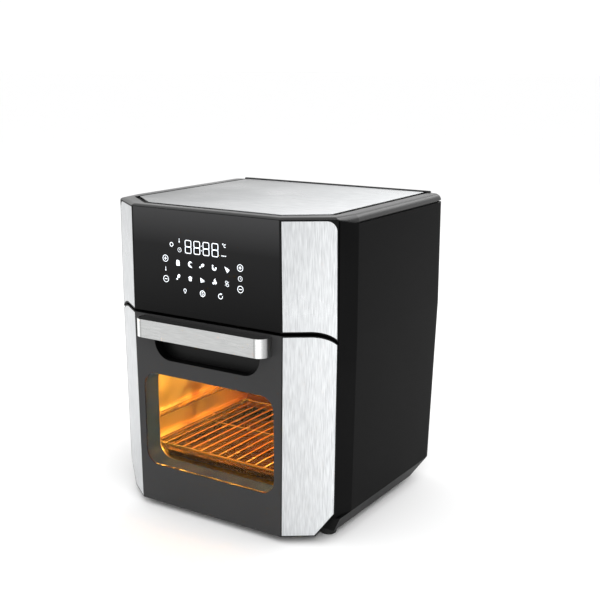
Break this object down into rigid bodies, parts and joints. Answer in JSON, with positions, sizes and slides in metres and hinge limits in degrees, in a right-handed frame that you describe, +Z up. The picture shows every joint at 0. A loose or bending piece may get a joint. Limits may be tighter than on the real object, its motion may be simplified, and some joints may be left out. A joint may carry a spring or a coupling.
{
  "type": "rotisserie oven",
  "caption": "Countertop rotisserie oven with drop-down glass door, bar handle, touch control panel, steel corner facets, lit cavity, spit, wire rack and drip tray.",
  "frame": {"origin": "on the surface the oven stands on, at the middle of its overall box", "axes": "+Z up, the door and handle face -Y, +X to the right seen from the front"},
  "size_m": [0.318, 0.312, 0.3734],
  "materials": {
    "gloss_black": "gloss",
    "door_black": "gloss",
    "side_panel": "satin black paint",
    "bezel": "satin",
    "black_plastic": "satin",
    "brushed_steel": "brushed",
    "cavity_steel": "satin",
    "zinc_steel": "zinc plated",
    "chrome_wire": "bright",
    "enamel": "gloss enamel",
    "heater_alloy": "oxidised",
    "fan_aluminium": "satin",
    "motor_steel": "satin",
    "window_glass": "clear",
    "lamp_glass": "clear",
    "lamp_light": "warm white",
    "silicone": "matt",
    "foot_rubber": "matt",
    "circuit_board": "solder mask",
    "switch_red": "satin"
  },
  "bodies": {
    "housing": {"base_pan": "black_plastic", "cavity_liner": "cavity_steel", "control_panel": "gloss_black", "cord_gland": "foot_rubber", "display_board": "circuit_board", "door_switch": "black_plastic", "fan_guard": "chrome_wire", "fan_hood": "cavity_steel", "fan_motor": "motor_steel", "front_frame": "black_plastic", "heat_shield": "zinc_steel", "heating_element": "heater_alloy", "hinge_bracket_left": "zinc_steel", "hinge_bracket_right": "zinc_steel", "lamp_bulb": "lamp_light", "lamp_holder": "zinc_steel", "lamp_lens": "lamp_glass", "motor_bracket": "zinc_steel", "power_board": "circuit_board", "rack_guide_left": "chrome_wire", "rack_guide_right": "chrome_wire", "rear_cover": "side_panel", "rear_screws": "zinc_steel", "rubber_feet": "foot_rubber", "side_panel_left": "side_panel", "side_panel_right": "side_panel", "spit_motor": "motor_steel", "spit_motor_bracket": "zinc_steel", "spit_support": "cavity_steel", "temperature_probe": "chrome_wire", "thermal_cutout": "motor_steel", "top_bezel": "bezel", "top_plate": "brushed_steel", "upper_trim_left": "brushed_steel", "upper_trim_right": "brushed_steel", "wall_spacers": "black_plastic"},
    "door": {"door_frame": "door_black", "door_inner_panel": "cavity_steel", "door_seal": "silicone", "door_screws": "zinc_steel", "door_trim_left": "brushed_steel", "door_trim_right": "brushed_steel", "window_glass_outer": "window_glass", "window_glass_inner": "window_glass", "handle_core": "black_plastic", "handle_strip": "brushed_steel", "handle_screws": "zinc_steel", "hinge_pins": "zinc_steel"},
    "spit": {"spit_shaft": "chrome_wire", "spit_fork_left": "chrome_wire", "spit_fork_right": "chrome_wire", "fork_screws": "chrome_wire", "drive_coupler": "zinc_steel"},
    "rack": {"wire_rack": "chrome_wire"},
    "tray": {"drip_tray": "enamel"},
    "plunger": {"switch_plunger": "switch_red"},
    "fan": {"motor_shaft": "zinc_steel", "fan_impeller": "fan_aluminium", "cooling_fan": "black_plastic", "fan_nut": "zinc_steel"}
  },
  "joints": [
    {"name": "door_hinge", "type": "hinge", "parent": "housing", "child": "door", "pos_m": [0, -0.126, 0.0225], "axis": [1, 0, 0], "range_deg": [0, 80]},
    {"name": "spit_spin", "type": "hinge", "parent": "housing", "child": "spit", "pos_m": [0, 0.006, 0.134], "axis": [1, 0, 0], "continuous": true},
    {"name": "fan_spin", "type": "hinge", "parent": "housing", "child": "fan", "pos_m": [0, 0.006, 0.25], "axis": [0, 0, 1], "continuous": true},
    {"name": "rack_slide", "type": "slide", "parent": "housing", "child": "rack", "axis": [0, -1, 0], "range_m": [0, 0.0535]},
    {"name": "tray_slide", "type": "slide", "parent": "housing", "child": "tray", "axis": [0, -1, 0], "range_m": [0, 0.031]},
    {"name": "plunger_slide", "type": "slide", "parent": "housing", "child": "plunger", "axis": [0, -1, 0], "range_m": [0, 0.0026]}
  ],
  "couplings": [
    {"joint": "rack_slide", "follows": "door_hinge", "m_per_rad": 0.038},
    {"joint": "tray_slide", "follows": "door_hinge", "m_per_rad": 0.022},
    {"joint": "plunger_slide", "follows": "door_hinge", "m_per_rad": 0.0018}
  ]
}
